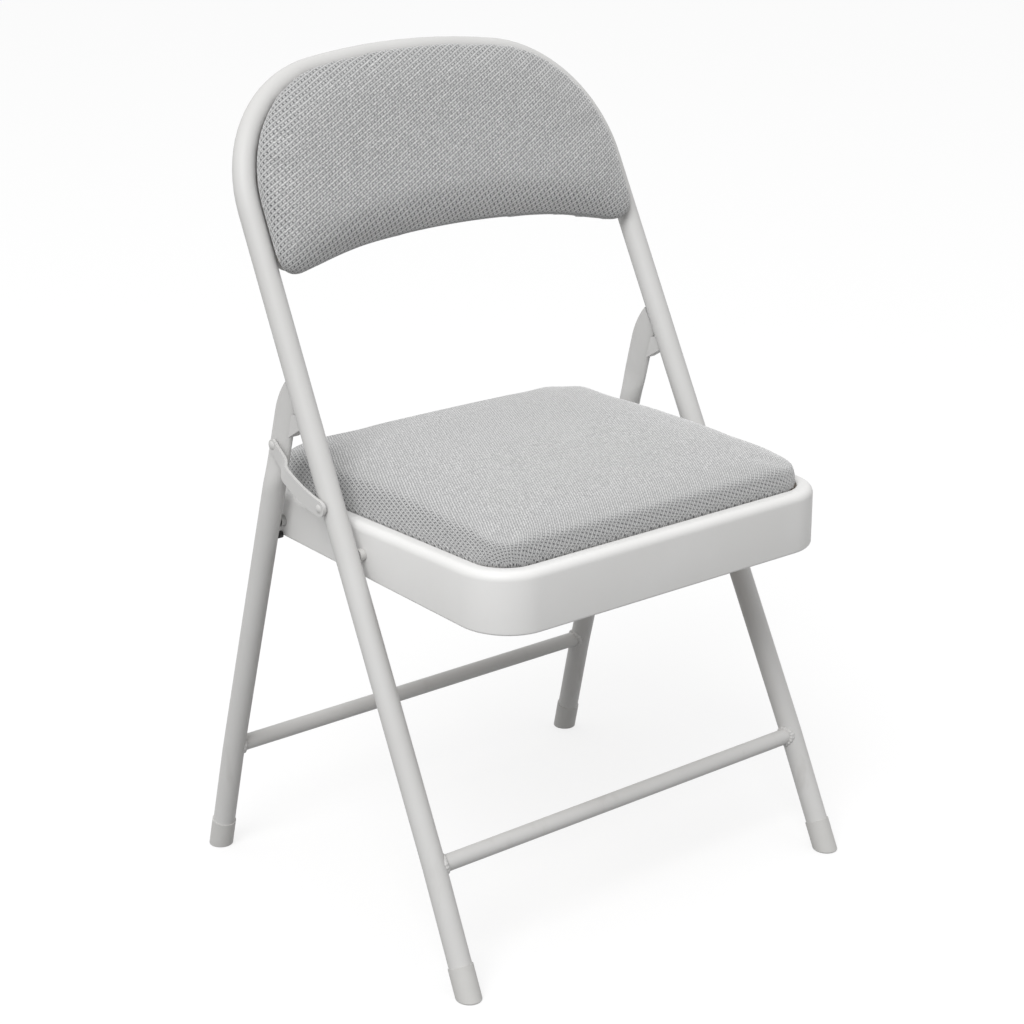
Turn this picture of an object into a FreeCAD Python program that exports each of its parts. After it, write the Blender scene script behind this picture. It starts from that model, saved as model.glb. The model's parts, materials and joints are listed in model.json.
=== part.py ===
"""Padded folding chair: a front frame with the back, a folding seat, rear legs and a link strap."""
import FreeCAD
import Part
import math
import os

os.makedirs("parts", exist_ok=True)
V = FreeCAD.Vector
ORIGIN = V(0, 0, 0)
X_AXIS = V(1, 0, 0)

# Frame sizes in mm and degrees
HEIGHT = 800.0
SPLAY = 0.985
FRONT_LEAN = 26.565
REAR_LEAN = 15.3
FOOT_KICK = 1.7
BEND_HEIGHT = 112.0
BEND_R = 400.0
TUBE_D = 22.0
WALL = 1.2
CROWN_R = 750.0
CORNER_R = 130.0
BAR_D = 16.0
BAR_FRONT_Z = 111.0
BAR_REAR_Z = 118.0

# Foot caps
CAP_WALL = 1.0
CAP_UP = 30.0
CAP_FLOOR = 9.0
CAP_ROUND = 1.5

# Folding linkage, all pivots run along X
PIVOT_DROP = 28.0
PIVOT_SPACING = 127.4
LINK_UP = 88.0
FOLD_CLEAR = 3.0
LEG_TOP_DROP = 15.7
LEG_TOP_R = 125.0
STOP_GAP = 1.0
STOP_DOWN = 26.0
STOP_H = 10.0
STOP_SLANT = 13.0
STOP_W = 12.0
FLAT_W = 30.0
FLAT_T = 11.0
FLAT_BELOW = 8.0
FLAT_RUN = 40.0
PLUG_LEN = 42.0
LINK_T = 3.0
LINK_W = 15.0
LINK_TOP_W = 11.0
LINK_BOW = 7.0
LINK_STEP_CLEAR = 3.0
LINK_STEP_RUN = 18.0
LINK_GAP = 1.9
OPEN_GAP = 0.8
PIN_R = 4.0
RIVET_R = 3.0
RIVET_HEAD_R = 4.2
RIVET_HEAD_H = 1.6
RUN_FIT = 0.06
PRESS_FIT = 0.03
FACE_GAP = 0.3
SLIP_GAP = 0.1
WELD_GAP = 0.05

# Seat, its depth measured from the pivots
SEAT_W = 420.0
SEAT_SIDE_GAP = 6.12
SEAT_AHEAD = 193.5
PLATE_CLEAR = 2.1
SEAT_R = 50.0
PAN_TOP = 399.0
PAN_ROUND = 8.0
PAN_T = 1.2
SKIRT_FRONT_H = 59.0
SKIRT_REAR_H = 42.0
LEDGE = 16.0
RECESS = 7.0
FLANGE = 34.0
BOARD_EDGE = 3.0
SEAT_BOARD_T = 9.0
CUSHION_H = 42.0
PLATE_T = 2.0
PLATE_H = 26.0
SPACER_R = 6.0
WASHER_R = 5.5
BUMPER_R = 3.5
BUMPER_L = 5.2
BUMPER_UP = 1.5
BUMPER_BACK = 4.0

# Back
BACK_H = 180.1
BACK_LOW_R = 1050.0
BACK_CORNER = 16.0
BACK_BOARD_T = 7.0
BACK_BOARD_EDGE = 2.5
PANEL_T = 1.2
PANEL_LAP = 1.5
PAD_DEPTH = 28.5
PAD_GAP = 1.0

# Screws
SCREW_R = 2.4
SCREW_HEAD_R = 4.4
SCREW_HEAD_H = 2.4
SCREW_BITE = 5.5

# Values that follow from the sizes above
TUBE_R = TUBE_D / 2
BAR_R = BAR_D / 2
CAP_R = TUBE_R + CAP_WALL
FRONT = math.radians(FRONT_LEAN)
REAR = math.radians(REAR_LEAN)
KICK = math.radians(FOOT_KICK)
NARROW = math.tan(math.radians(SPLAY))
SIDE_SLOPE = math.atan(NARROW * math.cos(FRONT))
TOP_T = (HEIGHT - TUBE_R) / math.cos(FRONT)
SEAT_HALF = SEAT_W / 2
SEAT_BEHIND = SEAT_R + PLATE_H / 2 + PLATE_CLEAR
PIVOT_Z = PAN_TOP - PIVOT_DROP
FOOT_HALF = SEAT_HALF + SEAT_SIDE_GAP + TUBE_R + PIVOT_Z * NARROW
CLOSING = math.tan(FRONT) + math.tan(REAR)
LEG_SPREAD = PIVOT_SPACING + PIVOT_Z * CLOSING
LEG_TOP_Z = LEG_SPREAD / CLOSING - LEG_TOP_DROP
FOLD_GAP = TUBE_R + FLAT_W / 2 + FOLD_CLEAR


def half_width(z):
    """Distance of a leg's centre line from the middle plane at a height."""
    return FOOT_HALF - z * NARROW


def front_point(z, side=1):
    """Point on the straight part of a front leg."""
    return V(side * half_width(z), z * math.tan(FRONT), z)


def rear_point(z, side=1):
    """Point on the straight part of a rear leg."""
    return V(side * half_width(z), LEG_SPREAD - z * math.tan(REAR), z)


def in_plane(x, t, n=0.0):
    """Point from the front frame's own plane: t runs up the tubes, n to the rear of them."""
    return V(x, t * math.sin(FRONT) + n * math.cos(FRONT), t * math.cos(FRONT) - n * math.sin(FRONT))


def line(a, b):
    return Part.makeLine(a, b)


def arc(a, m, b):
    return Part.Arc(a, m, b).toShape()


def disc_rod(radius, a, b):
    """Solid round rod from a to b."""
    return Part.makeCylinder(radius, (b - a).Length, a, b - a)


def x_rod(side, radius, x0, x1, y, z):
    """Round rod along X on one side of the chair, from x0 out to x1."""
    return Part.makeCylinder(radius, x1 - x0, V(side * x0, y, z), V(side, 0, 0))


def x_ring(side, outer, inner, x0, x1, y, z):
    """Washer along X."""
    return x_rod(side, outer, x0, x1, y, z).cut(x_rod(side, inner, x0 - 1, x1 + 1, y, z))


def dome_rivet(side, x0, x1, radius, y, z):
    """Rivet along X with a domed head on its outer end at x1."""
    shank = x_rod(side, radius, x0, x1, y, z)
    ball_r = (RIVET_HEAD_R ** 2 + RIVET_HEAD_H ** 2) / (2 * RIVET_HEAD_H)
    ball = Part.makeSphere(ball_r, V(side * (x1 + RIVET_HEAD_H - ball_r), y, z))
    head = ball.common(x_rod(side, RIVET_HEAD_R + 1, x1, x1 + RIVET_HEAD_H + 1, y, z))
    return shank.fuse(head).removeSplitter()


def sweep(path, radius):
    """Solid rod of one radius along a smooth path."""
    edge = path.OrderedEdges[0]
    start = edge.valueAt(edge.FirstParameter)
    heading = edge.tangentAt(edge.FirstParameter)
    ring = Part.Wire(Part.makeCircle(radius, start, heading))
    return path.makePipe(Part.Face(ring))


def smooth_loft(rings):
    """Soft solid through a stack of outlines."""
    return Part.makeLoft(rings, True, False, False, 3)


def bent_corner(before, corner, after, radius):
    """Start, middle and end of the arc that rounds a corner of a tube path."""
    d1 = (corner - before).normalize()
    d2 = (after - corner).normalize()
    turn = d1.getAngle(d2)
    back = radius * math.tan(turn / 2)
    inward = (d2 - d1).normalize()
    return corner - d1 * back, corner + inward * (radius / math.cos(turn / 2) - radius), corner + d2 * back


def kicked(bend, slope, sense):
    """Foot end of a leg, below the bend where the leg stands a little more upright."""
    drop = bend.z - CAP_FLOOR
    reach = drop * math.tan(slope - KICK)
    side = 1 if bend.x > 0 else -1
    return V(bend.x + side * drop * NARROW, bend.y - sense * reach, CAP_FLOOR)


# Front frame path
SIDE_COS = math.cos(SIDE_SLOPE)
SIDE_SIN = math.sin(SIDE_SLOPE)
CROWN_T = TOP_T - CROWN_R


def between(line_inset, circle_t, reach):
    """Centre of a circle that keeps line_inset from the side line and reach from a circle's centre."""
    c0 = FOOT_HALF * SIDE_COS - line_inset - circle_t * SIDE_SIN
    rise = math.sqrt(reach ** 2 - c0 ** 2)
    return c0 * SIDE_COS - SIDE_SIN * rise, circle_t + c0 * SIDE_SIN + SIDE_COS * rise


ARCH_X, ARCH_T = between(CORNER_R, CROWN_T, CROWN_R - CORNER_R)
ARCH_TURN = math.atan2(ARCH_T - CROWN_T, ARCH_X)


def arch_edges(inset, n):
    """Right side tangent point, right corner, crown and left corner of the arch, drawn in by inset."""
    r2 = CORNER_R - inset
    r1 = CROWN_R - inset

    def on_corner(angle, side):
        return in_plane(side * (ARCH_X + r2 * math.cos(angle)), ARCH_T + r2 * math.sin(angle), n)

    mid = (SIDE_SLOPE + ARCH_TURN) / 2
    low = {s: on_corner(SIDE_SLOPE, s) for s in (1, -1)}
    high = {s: on_corner(ARCH_TURN, s) for s in (1, -1)}
    middle = {s: on_corner(mid, s) for s in (1, -1)}
    right = arc(low[1], middle[1], high[1])
    crown = arc(high[1], in_plane(0, CROWN_T + r1, n), high[-1])
    left = arc(high[-1], middle[-1], low[-1])
    return low, [right, crown, left]


def front_path():
    low, arch = arch_edges(0.0, 0.0)
    edges = {}
    for side in (1, -1):
        bend = front_point(BEND_HEIGHT, side)
        foot = kicked(bend, FRONT, 1)
        a, m, b = bent_corner(foot, bend, low[side], BEND_R)
        edges[side] = (foot, a, m, b)
    foot, a, m, b = edges[1]
    parts = [line(foot, a), arc(a, m, b), line(b, low[1])] + arch
    foot, a, m, b = edges[-1]
    parts += [line(low[-1], b), arc(b, m, a), line(a, foot)]
    return Part.Wire(parts)


def rear_path(side):
    bend = rear_point(BEND_HEIGHT, side)
    top = rear_point(FLAT_START, side)
    foot = kicked(bend, REAR, -1)
    a, m, b = bent_corner(foot, bend, top, BEND_R)
    return Part.Wire([line(foot, a), arc(a, m, b), line(b, top)])


def foot_of(path, last=False):
    """Foot end of a path and the direction up the leg there."""
    edge = path.OrderedEdges[-1] if last else path.OrderedEdges[0]
    ends = [v.Point for v in edge.Vertexes]
    ends.sort(key=lambda p: p.z)
    return ends[0], (ends[1] - ends[0]).normalize()


def foot_cap(path, last=False):
    """Cap over a leg's end, flat on the floor."""
    end, up = foot_of(path, last)
    body = disc_rod(CAP_R, end - up * (3 * CAP_FLOOR), end + up * (CAP_UP - CAP_FLOOR))
    side = 4 * CAP_R
    floor = Part.makeBox(2 * side, 2 * side, side, V(end.x - side, end.y - side, -side))
    body = body.cut(floor)
    sole = [e for e in body.Edges if e.BoundBox.ZMax < 0.01]
    body = body.makeFillet(CAP_ROUND, sole)
    return body.cut(disc_rod(TUBE_R + PRESS_FIT, end, end + up * (2 * CAP_UP)))


# Pivots as (y, z)
SEAT_PIVOT = front_point(PIVOT_Z)
LEG_PIVOT = rear_point(PIVOT_Z)
LINK_TOP = rear_point(PIVOT_Z + LINK_UP * math.cos(REAR))
FLAT_Z = LINK_TOP.z - FLAT_BELOW
FLAT_START = FLAT_Z - FLAT_RUN
ARM = LEG_PIVOT.y - SEAT_PIVOT.y


def to_tn(p):
    """Place of a point in the frame's plane, from the seat pivot."""
    y = p.y - SEAT_PIVOT.y
    z = p.z - SEAT_PIVOT.z
    return y * math.sin(FRONT) + z * math.cos(FRONT), y * math.cos(FRONT) - z * math.sin(FRONT)


# The link's lower pivot is where the legs fold parallel to the front tubes, FOLD_GAP behind them
UP_T, UP_N = to_tn(LINK_TOP)
FOLDED_T = math.sqrt(ARM ** 2 - FOLD_GAP ** 2)
SHORT = FOLDED_T - LINK_UP
LINK_T_POS = (UP_T ** 2 + UP_N ** 2 - FOLD_GAP ** 2 - SHORT ** 2) / (2 * (UP_T + SHORT))
LINK_FOOT = front_point(PIVOT_Z + LINK_T_POS * math.cos(FRONT))
FOLD_SEAT = math.atan2(FOLD_GAP, -FOLDED_T) - math.atan2(to_tn(LEG_PIVOT)[1], to_tn(LEG_PIVOT)[0])
FOLD_LEGS = FRONT + REAR
FOLD_LINK = math.atan2(FOLD_GAP, LINK_UP - FOLDED_T - LINK_T_POS) - math.atan2(UP_N, UP_T - LINK_T_POS)

# Distances from the middle plane, from the seat's side outward
TUBE_IN = half_width(PIVOT_Z) - TUBE_R
PLATE_X = SEAT_HALF - PAN_T - WELD_GAP - PLATE_T
LINK_X = half_width(LINK_FOOT.z) + TUBE_R + LINK_GAP
LINK_TOP_X = half_width(LINK_TOP.z) + FLAT_T / 2 + LINK_GAP

nodes = {}


def pair(name, right):
    """Stores a right-hand piece and its mirror image as two nodes."""
    nodes[name + "_right"] = right
    nodes[name + "_left"] = right.mirror(ORIGIN, X_AXIS)


def group(name, pieces):
    nodes[name] = Part.makeCompound(pieces)


# Front frame
path = front_path()
frame_solid = sweep(path, TUBE_R)
frame = frame_solid.cut(sweep(path, TUBE_R - WALL))
for s in (1, -1):
    frame = frame.cut(x_rod(s, PIN_R + PRESS_FIT, TUBE_IN - 3, half_width(PIVOT_Z), SEAT_PIVOT.y, PIVOT_Z))
foot_hole = x_rod(-1, RIVET_R + PRESS_FIT, half_width(LINK_FOOT.z), LINK_X, LINK_FOOT.y, LINK_FOOT.z)
nodes["front_frame_tube"] = frame.cut(foot_hole)


def crossbar(a, b, legs):
    """Tube welded between two legs, its ends cut to sit on them."""
    bar = disc_rod(BAR_R, a, b).cut(disc_rod(BAR_R - WALL, a, b))
    for leg in legs:
        bar = bar.cut(leg)
    return bar


nodes["front_crossbar"] = crossbar(front_point(BAR_FRONT_Z, -1), front_point(BAR_FRONT_Z, 1), [frame_solid])
pair("foot_cap_front", foot_cap(path))

# Rear legs, round below and pressed flat from just under the link's upper pivot
LEG_UP = V(0, -math.sin(REAR), math.cos(REAR))
LEG_AHEAD = V(0, -math.cos(REAR), -math.sin(REAR))


def on_stop(z):
    """Point at a height on the plane just behind the front tubes where the rear legs come to rest."""
    n = TUBE_R + STOP_GAP
    return in_plane(0, (z + n * math.sin(FRONT)) / math.cos(FRONT), n)


def leg_end_profile():
    """Side view of the space a rear leg may fill: clear of the front tube, its back curving to a tip."""
    low = on_stop(PIVOT_Z + 40)
    tip = on_stop(LEG_TOP_Z)
    back = V(0, LEG_PIVOT.y, PIVOT_Z) - LEG_AHEAD * (FLAT_W / 2 + FACE_GAP)
    depth = (tip - back).dot(LEG_AHEAD)
    start = back + LEG_UP * ((tip - back).dot(LEG_UP) - math.sqrt(2 * LEG_TOP_R * depth - depth ** 2))
    turn = math.acos(1 - depth / LEG_TOP_R) / 2
    middle = start + (LEG_UP * math.sin(turn) + LEG_AHEAD * (1 - math.cos(turn))) * LEG_TOP_R
    wide = start + V(0, 2 * TUBE_D, 0)
    foot = V(0, LEG_SPREAD + 2 * TUBE_D, -TUBE_D)
    heel = V(0, 0, -TUBE_D)
    edges = [line(low, tip), arc(tip, middle, start), line(start, wide), line(wide, foot)]
    edges += [line(foot, heel), line(heel, low)]
    face = Part.Face(Part.Wire(edges))
    return face.extrude(V(2 * FOOT_HALF, 0, 0))


def leg_section(z, share, inset):
    """Outline of a rear leg, drawn in by inset: round at share 0, flattened at share 1."""
    centre = rear_point(z)
    axis = (rear_point(z + 1) - centre).normalize()
    thin = axis.cross(LEG_AHEAD)
    wide = TUBE_R + (FLAT_W / 2 - TUBE_R) * share - inset
    narrow = TUBE_R + (FLAT_T / 2 - TUBE_R) * share - inset
    oval = Part.Ellipse(ORIGIN, wide, narrow).toShape()
    oval.Placement = FreeCAD.Placement(centre, FreeCAD.Rotation(LEG_AHEAD, thin, axis, "XYZ"))
    return Part.Wire(oval)


def flat_end(inset, z):
    """Flattened end of a rear leg from a height to past its top."""
    top = LEG_TOP_Z + FLAT_W
    return Part.Face(leg_section(z, 1.0, inset)).extrude(rear_point(top) - rear_point(z))


def leg_rod(inset):
    """Rear leg as a solid, drawn in by inset."""
    rings = []
    for t in (0.0, 0.15, 0.35, 0.65, 0.85, 1.0):
        rings.append(leg_section(FLAT_START + t * FLAT_RUN, t * t * (3 - 2 * t), inset))
    return sweep(leg_path, TUBE_R - inset).fuse(smooth_loft(rings)).fuse(flat_end(inset, FLAT_Z))


def leg_stop():
    """Block on the back of a front tube that a rear leg rests on."""
    top_z = LEG_TOP_Z - STOP_DOWN
    low_z = top_z - STOP_H
    reach = LEG_AHEAD * (FLAT_W / 2 + STOP_GAP)
    corners = [front_point(low_z), front_point(top_z)]
    corners += [rear_point(top_z) + reach, rear_point(low_z - STOP_SLANT) + reach]
    flat = [V(0, p.y, p.z) for p in corners]
    block = Part.Face(Part.makePolygon(flat + flat[:1])).extrude(V(STOP_W, 0, 0))
    block.translate(V(half_width(low_z) - STOP_W / 2, 0, 0))
    return block.cut(disc_rod(TUBE_R + WELD_GAP, front_point(PIVOT_Z), front_point(LEG_TOP_Z)))


profile = leg_end_profile()
leg_path = rear_path(1)
leg_solid = leg_rod(0.0).common(profile)
pair("rear_leg", leg_solid.cut(leg_rod(WALL)))
top_hole = x_rod(-1, RIVET_R + PRESS_FIT, half_width(LINK_TOP.z), LINK_TOP_X, LINK_TOP.y, LINK_TOP.z)
nodes["rear_leg_left"] = nodes["rear_leg_left"].cut(top_hole)
stop_block = leg_stop()
group("leg_stops", [stop_block, stop_block.mirror(ORIGIN, X_AXIS)])
pair("leg_plug", flat_end(WALL + PRESS_FIT, LEG_TOP_Z - PLUG_LEN).common(profile))
leg_solid_left = leg_solid.mirror(ORIGIN, X_AXIS)
bar_ends = rear_point(BAR_REAR_Z, -1), rear_point(BAR_REAR_Z, 1)
nodes["rear_crossbar"] = crossbar(bar_ends[0], bar_ends[1], [leg_solid, leg_solid_left])
pair("foot_cap_rear", foot_cap(leg_path))

# Link strap, on the left side only
STRAP_A = V(0, LINK_FOOT.y, LINK_FOOT.z)
STRAP_B = V(0, LINK_TOP.y, LINK_TOP.z)
STRAP_LEN = (STRAP_B - STRAP_A).Length
ALONG = (STRAP_B - STRAP_A).normalize()
BOW = V(0, ALONG.z, -ALONG.y)


def strap_outline():
    """Side view of the strap: it bows to the rear and is narrower at its upper end."""
    mid = (STRAP_A + STRAP_B) * 0.5 + BOW * LINK_BOW
    centre = mid - BOW * (STRAP_LEN ** 2 / 4 + LINK_BOW ** 2) / (2 * LINK_BOW)
    out_a = (STRAP_A - centre).normalize() * (LINK_W / 2)
    out_m = BOW * (LINK_W / 2)
    out_b = (STRAP_B - centre).normalize() * (LINK_TOP_W / 2)
    edges = [
        arc(STRAP_A - out_a, mid - out_m, STRAP_B - out_b),
        arc(STRAP_B - out_b, STRAP_B + V(0, -out_b.z, out_b.y), STRAP_B + out_b),
        arc(STRAP_B + out_b, mid + out_m, STRAP_A + out_a),
        arc(STRAP_A + out_a, STRAP_A - V(0, -out_a.z, out_a.y), STRAP_A - out_a),
    ]
    return Part.Face(Part.Wire(edges)).extrude(V(2 * FOOT_HALF, 0, 0))


def strap_sheet():
    """Bent sheet the strap is cut from: two arcs step it in from the front tube's side to the leg's."""
    step = LINK_X - LINK_TOP_X
    radius = (LINK_STEP_RUN ** 2 + step ** 2) / (4 * step)
    turn = 2 * math.atan(step / LINK_STEP_RUN)
    last = STRAP_LEN - FLAT_W / 2 - LINK_STEP_CLEAR
    first = last - LINK_STEP_RUN
    low_x = LINK_TOP_X + LINK_T / 2
    high_x = LINK_X + LINK_T / 2

    def at(s, x):
        return STRAP_A + ALONG * s + V(x, 0, 0)

    def near(off, angle):
        r = radius + off
        return at(first + r * math.sin(angle), high_x - radius + r * math.cos(angle))

    def far(off, angle):
        r = radius - off
        return at(last - r * math.sin(angle), low_x + radius - r * math.cos(angle))

    def skin(off):
        tail = at(-LINK_W, high_x + off)
        tip = at(STRAP_LEN + LINK_W, low_x + off)
        bend_in = arc(near(off, 0), near(off, turn / 2), near(off, turn))
        bend_out = arc(near(off, turn), far(off, turn / 2), far(off, 0))
        return tail, tip, [line(tail, near(off, 0)), bend_in, bend_out, line(far(off, 0), tip)]

    tail_in, tip_in, inner = skin(-LINK_T / 2)
    tail_out, tip_out, outer = skin(LINK_T / 2)
    edges = inner + [line(tip_in, tip_out)] + outer[::-1] + [line(tail_out, tail_in)]
    reach = 2 * (LINK_W + LINK_BOW)
    sheet = Part.Face(Part.Wire(edges)).extrude(BOW * (2 * reach))
    sheet.translate(BOW * -reach)
    return sheet


link_ends = (
    ("front", LINK_FOOT, LINK_X, TUBE_R, LINK_W),
    ("rear", LINK_TOP, LINK_TOP_X, FLAT_T / 2, LINK_TOP_W),
)
strap = strap_outline().common(strap_sheet())
for end, p, x, leg_r, width in link_ends:
    strap = strap.cut(x_rod(1, RIVET_R + RUN_FIT, x - 1, x + LINK_T + 1, p.y, p.z))
    skin_x = half_width(p.z) + leg_r
    rivet = dome_rivet(-1, skin_x - 4 * WALL, x + LINK_T + SLIP_GAP, RIVET_R, p.y, p.z)
    nodes["link_rivet_" + end] = rivet
    ring = x_ring(-1, width / 2 - 1, RIVET_R + PRESS_FIT, skin_x + SLIP_GAP, x - SLIP_GAP, p.y, p.z)
    nodes["link_washer_" + end] = ring
nodes["side_link"] = strap.mirror(ORIGIN, X_AXIS)

# Seat pan
SEAT_FRONT = SEAT_PIVOT.y - SEAT_AHEAD
SEAT_REAR = LEG_PIVOT.y + SEAT_BEHIND
SKIRT_FRONT_Z = PAN_TOP - SKIRT_FRONT_H
SKIRT_REAR_Z = PAN_TOP - SKIRT_REAR_H


def seat_wire(inset, z, radius):
    """Rounded rectangle of the seat, drawn in by inset."""
    x = SEAT_HALF - inset
    y0 = SEAT_FRONT + inset
    y1 = SEAT_REAR - inset
    k = radius * (1 - math.sqrt(0.5))
    p = [
        (V(x - radius, y0, z), V(x - k, y0 + k, z), V(x, y0 + radius, z)),
        (V(x, y1 - radius, z), V(x - k, y1 - k, z), V(x - radius, y1, z)),
        (V(-x + radius, y1, z), V(-x + k, y1 - k, z), V(-x, y1 - radius, z)),
        (V(-x, y0 + radius, z), V(-x + k, y0 + k, z), V(-x + radius, y0, z)),
    ]
    edges = []
    for i in range(4):
        edges.append(arc(*p[i]))
        edges.append(line(p[i][2], p[(i + 1) % 4][0]))
    return Part.Wire(edges)


def seat_block(inset, z0, z1, radius):
    return Part.Face(seat_wire(inset, z0, radius)).extrude(V(0, 0, z1 - z0))


def rounded_block(inset, z0, z1, radius, edge_r):
    block = seat_block(inset, z0, z1, radius)
    rim = [e for e in block.Edges if e.BoundBox.ZMin > z1 - 0.01]
    return block.makeFillet(edge_r, rim)


def skirt_z(y):
    """Height of the skirt's lower edge."""
    share = (y - SEAT_FRONT + 5) / (SEAT_REAR - SEAT_FRONT + 10)
    return SKIRT_FRONT_Z + (SKIRT_REAR_Z - SKIRT_FRONT_Z) * share


SKIRT_LOW = min(SKIRT_FRONT_Z, SKIRT_REAR_Z) - 10
RECESS_Z = PAN_TOP - RECESS
RECESS_R = SEAT_R - LEDGE
pan = rounded_block(0, SKIRT_LOW, PAN_TOP, SEAT_R, PAN_ROUND)
hollow = rounded_block(PAN_T, SKIRT_LOW - 1, PAN_TOP - PAN_T, SEAT_R - PAN_T, PAN_ROUND - PAN_T)
hollow = hollow.cut(seat_block(LEDGE - PAN_T, RECESS_Z - PAN_T, PAN_TOP, RECESS_R + PAN_T))
pan = pan.cut(hollow)
pan = pan.cut(seat_block(LEDGE, RECESS_Z, PAN_TOP + 1, RECESS_R))
window = seat_block(LEDGE + FLANGE, SKIRT_LOW, PAN_TOP, RECESS_R / 2)
pan = pan.cut(window)
wedge = Part.Face(Part.Wire([
    line(V(0, SEAT_FRONT - 5, SKIRT_LOW - 5), V(0, SEAT_FRONT - 5, SKIRT_FRONT_Z)),
    line(V(0, SEAT_FRONT - 5, SKIRT_FRONT_Z), V(0, SEAT_REAR + 5, SKIRT_REAR_Z)),
    line(V(0, SEAT_REAR + 5, SKIRT_REAR_Z), V(0, SEAT_REAR + 5, SKIRT_LOW - 5)),
    line(V(0, SEAT_REAR + 5, SKIRT_LOW - 5), V(0, SEAT_FRONT - 5, SKIRT_LOW - 5)),
])).extrude(V(SEAT_W + 20, 0, 0))
wedge.translate(V(-SEAT_HALF - 10, 0, 0))
pan = pan.cut(wedge)
for s in (1, -1):
    pan = pan.cut(x_rod(s, PIN_R + RUN_FIT, PLATE_X - 2, SEAT_HALF + 2, SEAT_PIVOT.y, PIVOT_Z))
    pan = pan.cut(x_rod(s, PIN_R + PRESS_FIT, PLATE_X - 2, SEAT_HALF + 2, LEG_PIVOT.y, PIVOT_Z))


# Screws up into the seat board and into the back board
def screw(head_seat, heading):
    """Screw whose head sits against a face at head_seat and whose shank runs along heading."""
    shank = disc_rod(SCREW_R, head_seat, head_seat + heading * (PAN_T + WELD_GAP + SCREW_BITE))
    head = disc_rod(SCREW_HEAD_R, head_seat - heading * SCREW_HEAD_H, head_seat)
    return head.fuse(shank).removeSplitter()


BOARD_LOW = RECESS_Z + WELD_GAP
board_inset = LEDGE + BOARD_EDGE
board_r = RECESS_R - BOARD_EDGE
seat_board = seat_block(board_inset, BOARD_LOW, BOARD_LOW + SEAT_BOARD_T, board_r)
screw_in = LEDGE + FLANGE / 2
screw_y = (SEAT_FRONT + screw_in + 40, (SEAT_FRONT + SEAT_REAR) / 2, SEAT_REAR - screw_in - 40)
seat_screws = []
for s in (1, -1):
    for y in screw_y:
        spot = V(s * (SEAT_HALF - screw_in), y, RECESS_Z - PAN_T - WELD_GAP)
        up = V(0, 0, 1)
        seat_screws.append(screw(spot, up))
        pan = pan.cut(disc_rod(SCREW_R + 0.2, spot - up * 2, spot + up * 4))
        top = spot + up * (PAN_T + WELD_GAP + SCREW_BITE + 0.5)
        seat_board = seat_board.cut(disc_rod(SCREW_R + PRESS_FIT, spot, top))
nodes["seat_pan"] = pan
nodes["seat_board"] = seat_board
group("seat_screws", seat_screws)

# Cushion: sides rise from the recess, swell over the ledge and roll into a crowned top
CUSHION_SIDE = ((0.0, 1.5), (0.17, 1.2), (0.38, -1.0), (0.58, 0.5), (0.75, 8.0))
CUSHION_CROWN = ((0.87, 0.15), (0.95, 0.33), (0.99, 0.57), (1.0, 0.79))
CUSHION_LOW = RECESS_Z + FACE_GAP
CUSHION_TOP = PAN_TOP + CUSHION_H
cushion_half = (SEAT_REAR - SEAT_FRONT) / 2 - LEDGE
rings = []
for share, inset in CUSHION_SIDE + tuple((h, way * cushion_half) for h, way in CUSHION_CROWN):
    z = CUSHION_LOW + share * (CUSHION_TOP - CUSHION_LOW)
    rings.append(seat_wire(LEDGE + inset, z, RECESS_R * (1 - 0.85 * inset / cushion_half)))
cushion = smooth_loft(rings)
pocket_top = BOARD_LOW + SEAT_BOARD_T + FACE_GAP
pocket = seat_block(board_inset - FACE_GAP, CUSHION_LOW - 1, pocket_top, board_r)
nodes["seat_cushion"] = cushion.cut(pocket)

# Pivot plates, studs, spacers, washers and bumpers
plate_a = V(PLATE_X, SEAT_PIVOT.y, PIVOT_Z)
plate_b = V(PLATE_X, LEG_PIVOT.y, PIVOT_Z)
half_h = V(0, 0, PLATE_H / 2)
round_y = V(0, PLATE_H / 2, 0)
plate = Part.Face(Part.Wire([
    line(plate_a - half_h, plate_b - half_h),
    arc(plate_b - half_h, plate_b + round_y, plate_b + half_h),
    line(plate_b + half_h, plate_a + half_h),
    arc(plate_a + half_h, plate_a - round_y, plate_a - half_h),
])).extrude(V(PLATE_T, 0, 0))
plate = plate.cut(x_rod(1, PIN_R + RUN_FIT, PLATE_X - 1, SEAT_HALF, SEAT_PIVOT.y, PIVOT_Z))
plate = plate.cut(x_rod(1, PIN_R + PRESS_FIT, PLATE_X - 1, SEAT_HALF, LEG_PIVOT.y, PIVOT_Z))
pair("pivot_plate", plate)
studs = []
spacers = []
rear_studs = []
rear_washers = []
bumpers = []
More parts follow.
